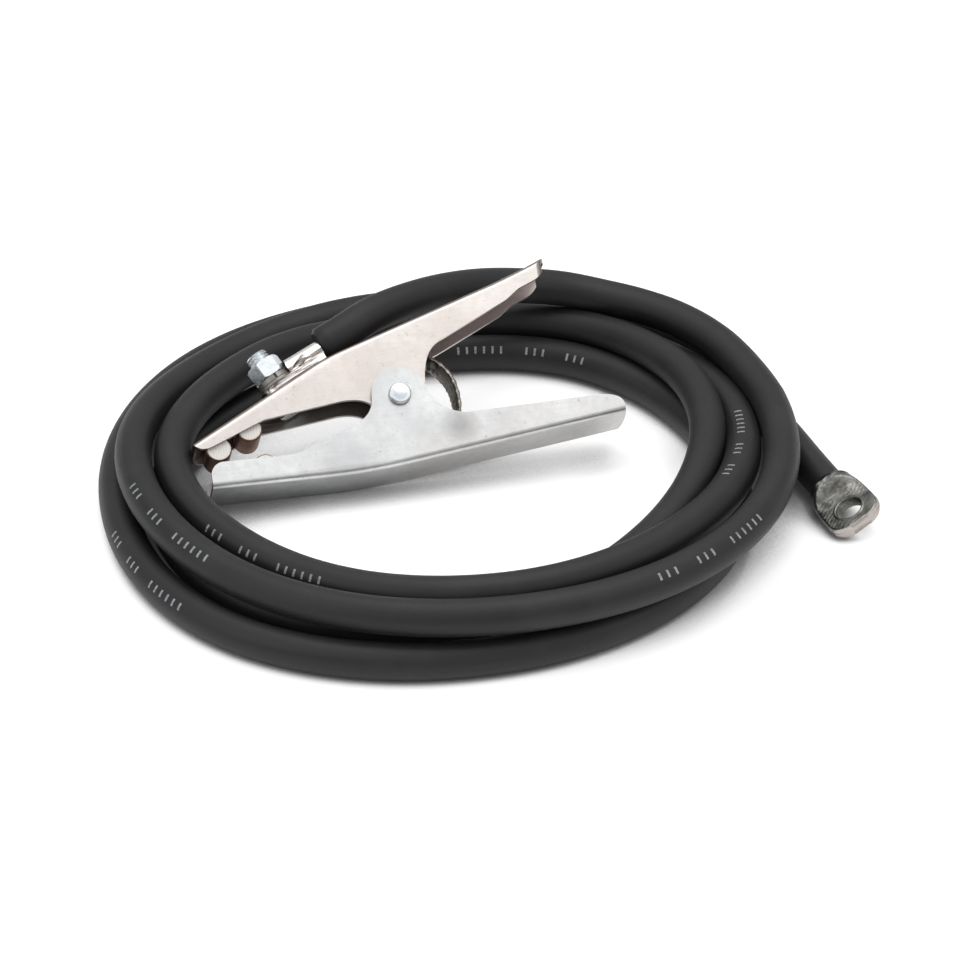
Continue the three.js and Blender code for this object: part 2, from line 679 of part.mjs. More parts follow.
function leadTube(points, steps, radius, extra = 0) {
  const ends = points.map((point) => point.clone());
  const last = ends.length - 1;
  ends[0].addScaledVector(ends[1].clone().sub(ends[0]).normalize(), -extra);
  ends[last].addScaledVector(ends[last - 1].clone().sub(ends[last]).normalize(), -extra);
  const path = new THREE.CatmullRomCurve3(ends, false, 'centripetal');
  return sweep(circleSection(radius, 12), path, steps);
}

// Outer shape of the four loose turns: a closed ring whose section follows the turns at each
// bearing, with room cut in it for the two free stretches.
function coilBody() {
  const rings = [];
  const sections = 36;
  const chamfer = 5;
  for (let i = 0; i < sections; i += 1) {
    const bearing = 360 * i / sections;
    const stations = [];
    for (let b = bearing; b <= COIL_END; b += 360) {
      if (b >= COIL_START) stations.push(coilStation(b));
    }
    const inner = Math.min(...stations.map((s) => s[0])) - LEAD_RADIUS;
    const outer = Math.max(...stations.map((s) => s[0])) + LEAD_RADIUS;
    const top = Math.max(...stations.map((s) => s[1])) + LEAD_RADIUS;
    const angle = THREE.MathUtils.degToRad(bearing);
    const place = (radius, height) => v3(
      COIL_CENTRE.x + radius * Math.sin(angle), COIL_CENTRE.y + radius * Math.cos(angle), height,
    );
    rings.push([
      place(inner + chamfer, 0), place(outer - chamfer, 0), place(outer, chamfer),
      place(outer, top - chamfer), place(outer - chamfer, top), place(inner + chamfer, top),
      place(inner, top - chamfer), place(inner, chamfer),
    ]);
  }
  const room = LEAD_RADIUS + 2 * GAP;
  const jawRoom = new THREE.BoxGeometry(28, 44, UPPER_WIDTH + 4)
    .translate(UPPER_TIP.x + 11, 3, 0)
    .rotateX(LEAN)
    .translate(0, 0, PIVOT_HEIGHT);
  const bodies = toSolid(loft(rings, true))
    .subtract(toSolid(leadTube(CLAMP_STRETCH, CLAMP_STEPS, room, 2 * GAP)))
    .subtract(toSolid(leadTube(LUG_STRETCH, LUG_STEPS, room, 2 * GAP)))
    .subtract(toSolid(jawRoom))
    .decompose();
  return bodies.reduce((largest, body) => (body.volume() > largest.volume() ? body : largest));
}

// Heavy terminal hammered from tube: a round barrel that flattens into a palm with one hole.
// Each station along it: distance from the jacket, half width, half height.
const PALM_HALF_WIDTH = 12.8;
const PALM_HALF_HEIGHT = 2.6;
const PALM_HOLE_X = 21;
const PALM_HOLE_RADIUS = 6.3;

function endLug() {
  const stations = [
    [0, 11, 7.7], [4, 11.4, 7], [7, 11.8, 5.6], [9.5, 12.3, 4.2], [12, 12.5, 3.1],
    [14.5, 12.7, PALM_HALF_HEIGHT],
  ];
  for (let i = 0; i <= 8; i += 1) {
    const angle = THREE.MathUtils.degToRad(10 * i);
    stations.push([
      20 + 11.8 * Math.sin(angle), PALM_HALF_WIDTH * Math.cos(angle) ** 0.6, PALM_HALF_HEIGHT,
    ]);
  }
  const sides = 28;
  const rings = stations.map(([distance, width, height]) => {
    const ring = [];
    const flatness = 0.1 + 0.9 * THREE.MathUtils.smoothstep(distance, 2, 13);
    for (let i = 0; i < sides; i += 1) {
      const angle = 2 * Math.PI * i / sides;
      const rise = (1 + 0.9 * flatness) * Math.sin(angle);
      const reach = Math.sign(Math.cos(angle)) * Math.abs(Math.cos(angle)) ** (1 - 0.5 * flatness);
      ring.push(v3(distance, width * reach, height * THREE.MathUtils.clamp(rise, -1, 1)));
    }
    return ring;
  });
  const hole = new THREE.CylinderGeometry(PALM_HOLE_RADIUS, PALM_HOLE_RADIUS, 40, 28)
    .rotateX(Math.PI / 2).translate(PALM_HOLE_X, 0, 0);
  const bore = new THREE.CylinderGeometry(CORE_RADIUS + GAP, CORE_RADIUS + GAP, 22, 24)
    .rotateZ(Math.PI / 2).translate(-5, 0, 0);
  const solid = toSolid(loft(rings)).subtract(toSolid(hole)).subtract(toSolid(bore));
  return alongEnd(toGeometry(solid), GAP);
}

function alongEnd(geometry, distance) {
  const start = LUG_START.clone().addScaledVector(LUG_DIRECTION, distance);
  const side = v3(0, 0, 1).cross(LUG_DIRECTION).applyAxisAngle(LUG_DIRECTION, LUG_ROLL);
  const up = LUG_DIRECTION.clone().cross(side);
  const turn = new THREE.Matrix4().makeBasis(LUG_DIRECTION, side, up).setPosition(start);
  return geometry.applyMatrix4(turn);
}

function endCore() {
  const length = 5;
  return alongEnd(
    new THREE.CylinderGeometry(CORE_RADIUS, CORE_RADIUS, length, 20).rotateZ(Math.PI / 2)
      .translate(length / 2, 0, 0),
    GAP,
  );
}

const lead = new THREE.Group();
lead.add(
  named('lead_clamp_stretch', leadTube(CLAMP_STRETCH, CLAMP_STEPS, LEAD_RADIUS), RUBBER),
  named('lead_coil', coilBody(), RUBBER),
  named('lead_lug_stretch', leadTube(LUG_STRETCH, LUG_STEPS, LEAD_RADIUS), RUBBER),
  named('end_core', endCore(), COPPER),
  named('end_lug', endLug(), TARNISHED),
);

// ---------------------------------------------------------------- whole object

// The middle of the bare clamp comes over the origin.
clamp.updateMatrixWorld(true);
const middle = new THREE.Box3().setFromObject(clamp, true).getCenter(v3(0, 0));
const groundClamp = new THREE.Group();
groundClamp.add(clamp, lead);
groundClamp.position.set(-middle.x, -middle.y, 0);
groundClamp.updateMatrixWorld(true);

export default groundClamp;
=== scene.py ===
import json
import math

import bmesh
import bpy
from mathutils import Matrix, Vector

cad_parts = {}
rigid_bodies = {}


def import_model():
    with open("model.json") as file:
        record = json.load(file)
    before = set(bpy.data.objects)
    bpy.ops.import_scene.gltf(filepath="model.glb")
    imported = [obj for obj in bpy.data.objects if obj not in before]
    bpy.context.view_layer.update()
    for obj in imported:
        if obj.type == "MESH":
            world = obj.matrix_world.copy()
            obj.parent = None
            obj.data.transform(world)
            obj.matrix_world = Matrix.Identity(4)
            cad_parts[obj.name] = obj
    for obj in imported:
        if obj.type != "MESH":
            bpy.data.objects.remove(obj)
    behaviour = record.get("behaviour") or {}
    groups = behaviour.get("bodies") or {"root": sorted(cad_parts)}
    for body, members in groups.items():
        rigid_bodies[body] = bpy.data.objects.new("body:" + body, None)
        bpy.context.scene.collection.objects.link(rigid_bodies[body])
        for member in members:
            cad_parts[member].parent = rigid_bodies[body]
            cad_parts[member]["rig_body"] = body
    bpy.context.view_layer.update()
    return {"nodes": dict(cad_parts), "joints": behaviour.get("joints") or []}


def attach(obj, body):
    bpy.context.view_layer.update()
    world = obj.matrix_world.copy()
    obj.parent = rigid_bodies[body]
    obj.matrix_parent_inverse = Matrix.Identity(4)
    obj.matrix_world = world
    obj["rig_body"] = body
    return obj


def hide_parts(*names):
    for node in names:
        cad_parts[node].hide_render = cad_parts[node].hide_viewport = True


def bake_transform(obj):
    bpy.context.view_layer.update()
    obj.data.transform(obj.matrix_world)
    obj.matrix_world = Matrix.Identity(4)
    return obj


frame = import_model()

MM = 0.001

# ---------------------------------------------------------------- places, from the frame

JOINT = frame["joints"][0]
PIVOT = Vector(JOINT["pos_m"])
LEAN = math.atan2(JOINT["axis"][1], -JOINT["axis"][2])      # how far the clamp leans back
FOOT = Vector((PIVOT.x, PIVOT.y, 0))                        # under the pivot, on the surface

# From the clamp's flat frame in millimetres (x along the arms, y across them, z across the
# channels, the pivot at 0, 0, 0) to the row frame in metres.
CLAMP = Matrix.Translation(PIVOT) @ Matrix.Rotation(LEAN, 4, "X") @ Matrix.Scale(MM, 4)


def in_row(x, y, z=0):
    """A point given in millimetres from the foot of the pivot, in the row frame in metres."""
    return FOOT + Vector((x, y, z)) * MM


# ---------------------------------------------------------------- camera

VIEW_ELEVATION = math.radians(32.5)
VIEW_TURN = math.radians(11.1)
VIEW_TARGET = in_row(34.6, -19.7)
VIEW_DISTANCE = 2.396
VIEW_LENS = 198.75


def make_camera():
    """The camera, from the front, a little to the left and above."""
    towards = Vector((
        math.sin(VIEW_TURN) * math.cos(VIEW_ELEVATION),
        math.cos(VIEW_TURN) * math.cos(VIEW_ELEVATION),
        -math.sin(VIEW_ELEVATION),
    ))
    data = bpy.data.cameras.new("camera")
    data.lens = VIEW_LENS
    data.sensor_width = 36
    data.clip_end = 20
    camera = bpy.data.objects.new("camera", data)
    camera.location = VIEW_TARGET - towards * VIEW_DISTANCE
    camera.rotation_euler = towards.to_track_quat("-Z", "Y").to_euler()
    bpy.context.scene.collection.objects.link(camera)
    bpy.context.scene.camera = camera


# ---------------------------------------------------------------- the lead's route

LEAD_DIAMETER = 16.5
LEAD_RADIUS = LEAD_DIAMETER / 2
COIL_CENTRE = (20.9, -17)

# Where each turn crosses the eight bearings, 45 degrees apart and clockwise from bearing 90:
# distance from the coil's centre, then height of the lead's middle, in millimetres.
COIL_TURNS = [
    [(147.5, 25.5), (153.5, 27), (151.5, 27), (148.5, 24.5),
     (143, 26.5), (131, 17.5), (125, 17.5), (133.6, 9)],
    [(132, 19.5), (133.5, 28), (134, 27.5), (125, 20.5),
     (125.5, 24.5), (107, 26), (107.5, 17.5), (120, 19.4)],
    [(117, 26.5), (115.5, 19.2), (125.5, 10), (141, 8.4),
     (129.5, 8.3), (101, 8.3), (94.3, 8.4), (107.5, 8.5)],
    [(119.5, 8.3), (141, 8.8), (153, 8.5), (163.3, 8.3),
     (150.8, 8.3), (145, 8.3), (139.5, 8.4), (150.5, 8.3)],
]
STATIONS = [station for turn in COIL_TURNS for station in turn]
BEARING_STEP = 45
COIL_START = 90
COIL_END = COIL_START + BEARING_STEP * (len(STATIONS) - 1)

LUG_START = (184.2, -71, 9.2)                   # where the jacket ends at the end lug
LUG_DIRECTION = Vector((0.21, -0.978, 0)).normalized()
LUG_ROLL = math.radians(28)                     # how far the end lug is turned about the lead

JACKET_START = Vector((-30.8, 31, 0))           # in the clamp's flat frame
JACKET_ANGLE = math.radians(26)
JACKET_STRAIGHT = 13.5                          # how far the lead runs straight out of the lug


def coil_point(bearing):
    """The lead's middle at a bearing, by a cubic through the stations."""
    position = (bearing - COIL_START) / BEARING_STEP
    i = min(max(math.floor(position), 0), len(STATIONS) - 2)
    t = position - i
    near = [STATIONS[min(max(k, 0), len(STATIONS) - 1)] for k in range(i - 1, i + 3)]
    radius, height = (
        b + 0.5 * t * (c - a + t * (2 * a - 5 * b + 4 * c - d + t * (3 * (b - c) + d - a)))
        for a, b, c, d in zip(*near)
    )
    angle = math.radians(bearing)
    return in_row(
        COIL_CENTRE[0] + radius * math.sin(angle),
        COIL_CENTRE[1] + radius * math.cos(angle),
        max(height, LEAD_RADIUS),
    )


def clamp_stretch():
    """From the lug, behind the upper handle and down onto the coil."""
    start = CLAMP @ JACKET_START
    direction = CLAMP.to_3x3() @ Vector((math.cos(JACKET_ANGLE), math.sin(JACKET_ANGLE), 0))
    return [
        start,
        start + direction * JACKET_STRAIGHT,
        in_row(-5.7, 36, 58.4), in_row(10.8, 46.3, 57.5), in_row(30.8, 58.8, 53.7),
        in_row(52, 71.3, 47.2), in_row(73.6, 79.8, 40.1), in_row(93.4, 82.4, 34.8),
        in_row(111.6, 77.6, 31.2), in_row(128.4, 69.3, 29), in_row(144.2, 55.6, 27.5),
        in_row(158.4, 31.6, 26.2),
        coil_point(COIL_START),
    ]


def lug_stretch():
    """From under the coil out to the end lug."""
    return [
        coil_point(COIL_END), in_row(141, 74.3, 8.3), in_row(152, 55.2, 8.3),
        in_row(161, 31, 8.4), in_row(169.1, 4.8, 8.5), in_row(175.1, -22.5, 8.7),
        in_row(179.8, -48.5, 8.9), in_row(*LUG_START),
    ]


def through(points, before, after, per_span=8):
    """A smooth centripetal curve through points; before and after shape its two ends."""
    knots = [before, *points, after]
    made = []
    for i in range(1, len(knots) - 2):
        p0, p1, p2, p3 = knots[i - 1:i + 3]
        t1 = math.sqrt((p1 - p0).length)
        t2 = t1 + math.sqrt((p2 - p1).length)
        t3 = t2 + math.sqrt((p3 - p2).length)
        for step in range(per_span):
            t = t1 + (t2 - t1) * step / per_span
            a1 = p0.lerp(p1, t / t1)
            a2 = p1.lerp(p2, (t - t1) / (t2 - t1))
            a3 = p2.lerp(p3, (t - t2) / (t3 - t2))
            b1 = a1.lerp(a2, t / t2)
            b2 = a2.lerp(a3, (t - t1) / (t3 - t1))
            made.append(b1.lerp(b2, (t - t1) / (t2 - t1)))
    return [*made, knots[-2].copy()]


def line_length(points):
    return sum((b - a).length for a, b in zip(points, points[1:]))


def spaced(points, step):
    """The same line with its points about step apart."""
    total = line_length(points)
    count = max(2, round(total / step))
    made, left, i = [points[0].copy()], total / count, 0
    here = points[0]
    while len(made) < count:
        gap = (points[i + 1] - here).length
        if gap >= left:
            here = here.lerp(points[i + 1], left / gap)
            made.append(here.copy())
            left = total / count
        else:
            left -= gap
            here = points[i + 1]
            i += 1
    return [*made, points[-1].copy()]


# ---------------------------------------------------------------- materials

def material(name):
    made = bpy.data.materials.new(name)
    made.use_nodes = True
    return made


class Nodes:
    """Short calls for building a material's nodes."""

    def __init__(self, mat):
        self.tree = mat.node_tree
        self.shader = self.tree.nodes["Principled BSDF"]
        surface = self.add("ShaderNodeTexCoord")
        self.place = surface.outputs["Object"]
        self.normal = surface.outputs["Normal"]

    def add(self, kind, **values):
        node = self.tree.nodes.new(kind)
        for key, value in values.items():
            setattr(node, key, value)
        return node

    def link(self, value, socket):
        if isinstance(value, bpy.types.NodeSocket):
            self.tree.links.new(value, socket)
        else:
            socket.default_value = value

    def scaled(self, scale, source=None):
        node = self.add("ShaderNodeMapping")
        self.link(source or self.place, node.inputs["Vector"])
        node.inputs["Scale"].default_value = scale
        return node.outputs["Vector"]

    def turned_back(self, vector):
        """A direction or a place from the pivot, in the clamp's flat frame."""
        node = self.add("ShaderNodeMapping")
        self.link(vector, node.inputs["Vector"])
        node.inputs["Rotation"].default_value = (-LEAN, 0, 0)
        return node.outputs["Vector"]

    def along_jacket(self, vector, scale):
        """The clamp's flat frame turned so that its first axis runs along the lug's barrel."""
        node = self.add("ShaderNodeMapping", vector_type="TEXTURE")
        self.link(vector, node.inputs["Vector"])
        node.inputs["Rotation"].default_value = (0, 0, JACKET_ANGLE)
        return self.scaled(scale, node.outputs["Vector"])

    def noise(self, scale, detail=4.0, roughness=0.55, vector=None):
        node = self.add("ShaderNodeTexNoise")
        self.link(vector or self.place, node.inputs["Vector"])
        node.inputs["Scale"].default_value = scale
        node.inputs["Detail"].default_value = detail
        node.inputs["Roughness"].default_value = roughness
        return node.outputs["Fac"]

    def math(self, operation, a, b=0.0):
        node = self.add("ShaderNodeMath", operation=operation)
        self.link(a, node.inputs[0])
        self.link(b, node.inputs[1])
        return node.outputs[0]

    def vector(self, operation, a, b):
        """A sum or difference of two vectors, or the number that two vectors give."""
        node = self.add("ShaderNodeVectorMath", operation=operation)
        self.link(a, node.inputs[0])
        self.link(b, node.inputs[1])
        gives_number = operation in ("DOT_PRODUCT", "DISTANCE")
        return node.outputs["Value" if gives_number else "Vector"]

    def parts(self, vector):
        node = self.add("ShaderNodeSeparateXYZ")
        self.link(vector, node.inputs[0])
        return node.outputs

    def remap(self, value, low, high, to_low, to_high):
        node = self.add("ShaderNodeMapRange")
        for given, socket in zip((value, low, high, to_low, to_high), node.inputs):
            self.link(given, socket)
        return node.outputs[0]

    def mix(self, factor, a, b):
        """Colour a where factor is 0, colour b where it is 1."""
        node = self.add("ShaderNodeMix", data_type="RGBA")
        self.link(factor, node.inputs[0])
        self.link(a, node.inputs[6])
        self.link(b, node.inputs[7])
        return node.outputs[2]

    def bump(self, height, strength, distance):
        node = self.add("ShaderNodeBump")
        node.inputs["Strength"].default_value = strength
        node.inputs["Distance"].default_value = distance
        self.link(height, node.inputs["Height"])
        return node.outputs["Normal"]

    def finish(self, colour, roughness, metallic, normal=None, **more):
        self.link(colour, self.shader.inputs["Base Color"])
        self.link(roughness, self.shader.inputs["Roughness"])
        self.link(metallic, self.shader.inputs["Metallic"])
        if normal is not None:
            self.link(normal, self.shader.inputs["Normal"])
        for key, value in more.items():
            self.link(value, self.shader.inputs[key.replace("_", " ")])


def rgb(red, green, blue):
    return (red, green, blue, 1)


PRESS_MARK = Vector((25, -17, 14.5)) * MM       # on the lower arm, in the clamp's flat frame
NEAR_WALLS = 9 * MM                             # only the near walls reach further across


def sheet_faces(n):
    """Masks for the clamp's sheet steel: painted shade on the handles' far walls seen from within,
    then the folds and cut edges, then a soft patch where the lower handle was pressed."""
    flat = n.turned_back(n.vector("SUBTRACT", n.place, PIVOT))
    along, _, across = n.parts(flat)
    _, facing_up, facing_out = n.parts(n.turned_back(n.normal))
    far_wall = n.math("LESS_THAN", across, NEAR_WALLS)
    # painted shade: the far walls' inner faces past the pivot, which lie in the channel's shade
    inside_shade = n.math("MULTIPLY", far_wall, n.math("GREATER_THAN", facing_out, 0.7))
    inside_shade = n.math("MULTIPLY", inside_shade, n.remap(along, -4 * MM, 4 * MM, 0, 1))
    sideways = n.remap(n.math("ABSOLUTE", facing_out), 0.97, 0.75, 0, 1)
    edge = n.math("MULTIPLY", sideways, n.remap(facing_up, -0.45, -0.25, 0, 1))
    press_mark = n.remap(n.vector("DISTANCE", flat, PRESS_MARK), 2 * MM, 11 * MM, 1, 0)
    return inside_shade, edge, press_mark


def zinc(name, light, dark, stain, roughness, pressed=0.0):
    """Bright zinc plate: rolling lines along the sheet, clouds, warm stains and dark specks, with
    painted shade on the far walls' inner faces.
    """
    mat = material(name)
    n = Nodes(mat)
    lines = n.noise(1, 4, 0.65, n.scaled((45, 1100, 1100)))
    clouds = n.noise(42, 3, 0.5)
    mottle = n.noise(260, 4, 0.6)
    patches = n.noise(16, 3, 0.6)
    specks = n.noise(620, 2, 0.5)
    inside_shade, edge, press_mark = sheet_faces(n)
    colour = n.mix(n.remap(clouds, 0.3, 0.7, 0, 1), light, dark)
    colour = n.mix(n.remap(patches, 0.48, 0.7, 0, 0.6), colour, stain)
    colour = n.mix(n.remap(lines, 0.3, 0.72, 0.0, 0.16), colour, rgb(0.42, 0.41, 0.4))
    colour = n.mix(n.remap(mottle, 0.4, 0.7, 0.0, 0.35), colour, rgb(0.42, 0.41, 0.4))
    colour = n.mix(n.remap(specks, 0.66, 0.74, 0.0, 0.3), colour, rgb(0.12, 0.11, 0.1))
    colour = n.mix(n.math("MULTIPLY", press_mark, pressed), colour, rgb(0.2, 0.2, 0.2))
    # painted shade, tinted warm, on the inner faces of the handles' far walls
    colour = n.mix(n.math("MULTIPLY", inside_shade, 0.6), colour, rgb(0.45, 0.36, 0.36))
    colour = n.mix(n.math("MULTIPLY", edge, 0.8), colour, rgb(0.2, 0.16, 0.14))
    rough = n.remap(lines, 0.3, 0.7, roughness - 0.05, roughness + 0.1)
    height = n.math("ADD", n.math("MULTIPLY", lines, 0.45), n.math("MULTIPLY", clouds, 0.6))
    n.finish(colour, rough, 1.0, n.bump(height, 0.14, 0.0003))
    return mat


# Where the printed marks lie on the jacket: metres along the lead, then turns round it.
PRINTS = [
    (0.39, 0.364), (0.658, 0.358), (3.052, 0.385), (1.457, 0.4), (1.18, 0.224), (2.53, 0.096),
]
WORDS = ((0, 0.025), (0.0335, 0.046), (0.0545, 0.067))     # each print's groups of dashes
DASH_PITCH = 0.0042
PRINT_HALF = 0.033                              # half height, in turns round the lead
DASH_SHARE = 0.26                               # how much of the pitch a dash fills


def printed(n, uv):
    """1 on the groups of plain upright dashes printed along the jacket, 0 elsewhere."""
    along, around, _ = n.parts(uv)
    inked = 0.0
    for start, turn in PRINTS:
        beside = n.math("ABSOLUTE", n.math("SUBTRACT", around, turn))
        in_line = n.math("LESS_THAN", beside, PRINT_HALF)
        for first, last in WORDS:
            middle = start + (first + last) / 2
            from_middle = n.math("ABSOLUTE", n.math("SUBTRACT", along, middle))
            in_word = n.math("LESS_THAN", from_middle, (last - first) / 2)
            inked = n.math("ADD", inked, n.math("MULTIPLY", in_line, in_word))
    phase = n.math("FRACT", n.math("DIVIDE", along, DASH_PITCH))
    return n.math("MULTIPLY", inked, n.math("LESS_THAN", phase, DASH_SHARE))


def rubber():
    """Charcoal rubber jacket: fine grain, lighter bands of painted sheen along it and a few plain
    printed dashes.
    """
    mat = material("lead_rubber")
    n = Nodes(mat)
    uv = n.add("ShaderNodeUVMap", uv_map="UVMap").outputs["UV"]
    sheen_streaks = n.noise(1, 3, 0.5, n.scaled((9, 16, 1), uv))
    grain = n.noise(1300, 3, 0.6)
    dust = n.noise(30, 4, 0.6)
    # painted sheen: these streaks lighten the jacket's colour along its length, and also vary its
    # roughness
    sheen_streak = n.remap(sheen_streaks, 0.3, 0.75, 0, 1)
    base = n.mix(sheen_streak, rgb(0.0075, 0.0075, 0.008), rgb(0.0145, 0.0145, 0.0152))
    colour = n.mix(n.remap(dust, 0.5, 0.8, 0, 0.4), base, rgb(0.03, 0.03, 0.03))
    ink = n.math("MULTIPLY", printed(n, uv), n.remap(grain, 0.35, 0.55, 0.35, 0.95))
    colour = n.mix(ink, colour, rgb(0.3, 0.31, 0.33))
    rough = n.remap(n.math("ADD", grain, sheen_streaks), 0.7, 1.3, 0.46, 0.62)
    n.finish(colour, rough, 0.0, n.bump(grain, 0.3, 0.0002), Specular_IOR_Level=0.36)
    return mat


def plain_metal(name, colour_a, colour_b, roughness, bump=0.15, scale=300):
    """Metal in clouds of two close colours, with a fine grain that dulls its gloss."""
    mat = material(name)
    n = Nodes(mat)
    fine = n.noise(scale, 4, 0.6)
    broad = n.noise(scale / 7, 3, 0.5)
    colour = n.mix(n.remap(broad, 0.3, 0.7, 0, 1), colour_a, colour_b)
    rough = n.remap(fine, 0.3, 0.7, roughness - 0.08, roughness + 0.1)
    n.finish(colour, rough, 1.0, n.bump(fine, bump, 0.0003))
    return mat


def sawn_copper():
    """Contact rods: brown copper sides, pale ends with the saw's curved marks."""
    mat = material("copper")
    n = Nodes(mat)
    _, _, facing_out = n.parts(n.turned_back(n.normal))
    is_end = n.math("GREATER_THAN", n.math("ABSOLUTE", facing_out), 0.8)
    marks = n.add("ShaderNodeTexWave", wave_type="RINGS", rings_direction="Z")
    n.link(n.turned_back(n.place), marks.inputs["Vector"])
    for key, value in (("Scale", 260), ("Distortion", 3), ("Detail", 3)):
        marks.inputs[key].default_value = value
    fine = n.noise(500, 4, 0.6)
    side = n.mix(n.remap(n.noise(90), 0.3, 0.7, 0, 1), rgb(0.5, 0.29, 0.19), rgb(0.3, 0.17, 0.115))
    ring = marks.outputs["Fac"]
    end = n.mix(n.remap(ring, 0.2, 0.9, 0, 0.3), rgb(0.68, 0.65, 0.61), rgb(0.5, 0.46, 0.42))
    height = n.math("ADD", n.math("MULTIPLY", fine, 0.5), n.math("MULTIPLY", ring, is_end))
    rough = n.remap(fine, 0.3, 0.7, 0.36, 0.55)
    metallic = n.remap(is_end, 0, 1, 1, 0.35)
    n.finish(n.mix(is_end, side, end), rough, metallic, n.bump(height, 0.25, 0.0002))
    return mat


def streaked_tin():
    """Bright tin on the crimped lug, with dark lines along the barrel and blots of painted brown
    shade and reflection.
    """
    mat = material("tinned_copper")
    n = Nodes(mat)
    lines = n.noise(1, 4, 0.6, n.along_jacket(n.turned_back(n.place), (14, 430, 430)))
    reflection_blots = n.noise(160, 3, 0.6)
    colour = n.mix(n.remap(lines, 0.42, 0.56, 1, 0), rgb(0.9, 0.88, 0.85), rgb(0.13, 0.11, 0.1))
    # painted brown shade and reflection, laid over the tin in blots
    colour = n.mix(n.remap(reflection_blots, 0.52, 0.7, 0, 0.55), colour, rgb(0.36, 0.27, 0.22))
    rough = n.remap(reflection_blots, 0.3, 0.7, 0.16, 0.34)
    n.finish(colour, rough, 1.0, n.bump(lines, 0.12, 0.0002))
    return mat


def woven(name, light, dark):
    """Fine wires of a woven strap: lines slanting both ways over a dark ground."""
    mat = material(name)
    n = Nodes(mat)
    uv = n.add("ShaderNodeUVMap", uv_map="UVMap").outputs["UV"]
    wires = n.noise(1, 2, 0.5, n.scaled((900, 4000, 1), uv))
    dirt = n.noise(120, 3, 0.6)
    colour = n.mix(n.remap(wires, 0.35, 0.62, 0, 1), dark, light)
    colour = n.mix(n.remap(dirt, 0.42, 0.66, 0, 0.75), colour, dark)
    n.finish(colour, 0.42, 1.0, n.bump(wires, 0.4, 0.0003))
    return mat


def tarnished():
    """End lug: dark tarnish with rubbed light patches, stronger towards one edge, on hammered
    metal and a paler cut end.
    """
    mat = material("tarnished_copper")
    n = Nodes(mat)
    dents = n.noise(170, 4, 0.62)
    fine = n.noise(700, 3, 0.6)
    rubbed = n.noise(75, 4, 0.65)
    from_jacket = n.vector("SUBTRACT", n.place, in_row(*LUG_START))
    along = n.vector("DOT_PRODUCT", from_jacket, LUG_DIRECTION)
    across = n.vector("DOT_PRODUCT", from_jacket, (-LUG_DIRECTION.y, LUG_DIRECTION.x, 0))
    facing_end = n.vector("DOT_PRODUCT", n.normal, LUG_DIRECTION)
    beyond_hole = n.remap(along, 24 * MM, 27 * MM, 0, 0.85)
    cut_end = n.math("MULTIPLY", beyond_hole, n.remap(facing_end, 0.3, 0.5, 0, 1))
    # the light patches grow stronger across the lug towards one edge
    one_edge_ramp = n.remap(across, -9 * MM, 10 * MM, 0.3, 1)
    cloud = n.remap(dents, 0.35, 0.65, 0, 1)
    colour = n.mix(cloud, rgb(0.075, 0.075, 0.07), rgb(0.21, 0.21, 0.195))
    rub = n.math("MULTIPLY", n.remap(rubbed, 0.52, 0.66, 0, 0.85), one_edge_ramp)
    colour = n.mix(rub, colour, rgb(0.42, 0.4, 0.37))
    colour = n.mix(cut_end, colour, rgb(0.5, 0.45, 0.42))
    rough = n.remap(fine, 0.3, 0.7, 0.28, 0.5)
    height = n.math("ADD", dents, n.math("MULTIPLY", fine, 0.3))
    n.finish(colour, rough, 1.0, n.bump(height, 0.6, 0.0006))
    return mat


# ---------------------------------------------------------------- meshes

def mesh_object(name, bm, smooth=True):
    data = bpy.data.meshes.new(name)
    bmesh.ops.recalc_face_normals(bm, faces=bm.faces)
    bm.to_mesh(data)
    bm.free()
    for polygon in data.polygons:
        polygon.use_smooth = smooth
    made = bpy.data.objects.new(name, data)
    bpy.context.scene.collection.objects.link(made)
    return made


def place(piece, mat, body, slot, *nodes):
    """Gives a piece its material and body, and hides the CAD nodes that it stands for; slot is not
    used.
    """
    piece.data.materials.clear()
    piece.data.materials.append(mat)
    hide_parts(*nodes)
    if body:
        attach(piece, body)
    return piece


def rings_along(points):
    """Frames along a line, carried without twist: (centre, side, up) at each point."""
    frames = []
    up = Vector((0, 0, 1))
    for i, point in enumerate(points):
        ahead = points[min(i + 1, len(points) - 1)] - points[max(i - 1, 0)]
        ahead.normalize()
        side = ahead.cross(up).normalized()
        up = side.cross(ahead).normalized()
        frames.append((point, side, up))
    return frames


LEAD_SIDES = 36
LEAD_STEP = 4.5 * MM
COIL_STEP = 3                                   # degrees between the coil's points


def lead_tube(name, points, run_before=0.0, rounded_start=False):
    """A closed tube along points. UV: u is metres along the lead, v goes once round it."""
    bm = bmesh.new()
    uv = bm.loops.layers.uv.new("UVMap")
    radius = LEAD_RADIUS * MM
    rings = []
    for centre, side, up in rings_along(points):
        ring = []
        for j in range(LEAD_SIDES):
            angle = 2 * math.pi * j / LEAD_SIDES
            outward = math.cos(angle) * side + math.sin(angle) * up
            ring.append(bm.verts.new(centre + radius * outward))
        rings.append(ring)
    if rounded_start:
        for vertex in rings[0]:
            vertex.co = points[0].lerp(vertex.co, 0.8)
    run = run_before
    for i in range(len(rings) - 1):
        step = (points[i + 1] - points[i]).length
        for j in range(LEAD_SIDES):
            k = (j + 1) % LEAD_SIDES
            face = bm.faces.new((rings[i][j], rings[i + 1][j], rings[i + 1][k], rings[i][k]))
            corners = ((run, j), (run + step, j), (run + step, j + 1), (run, j + 1))
            for loop, (u, v) in zip(face.loops, corners):
                loop[uv].uv = (u, v / LEAD_SIDES)
        run += step
    for ring in (rings[0], rings[-1]):
        cap = bm.faces.new(ring)
        for edge in cap.edges:
            edge.smooth = False
    return mesh_object(name, bm)


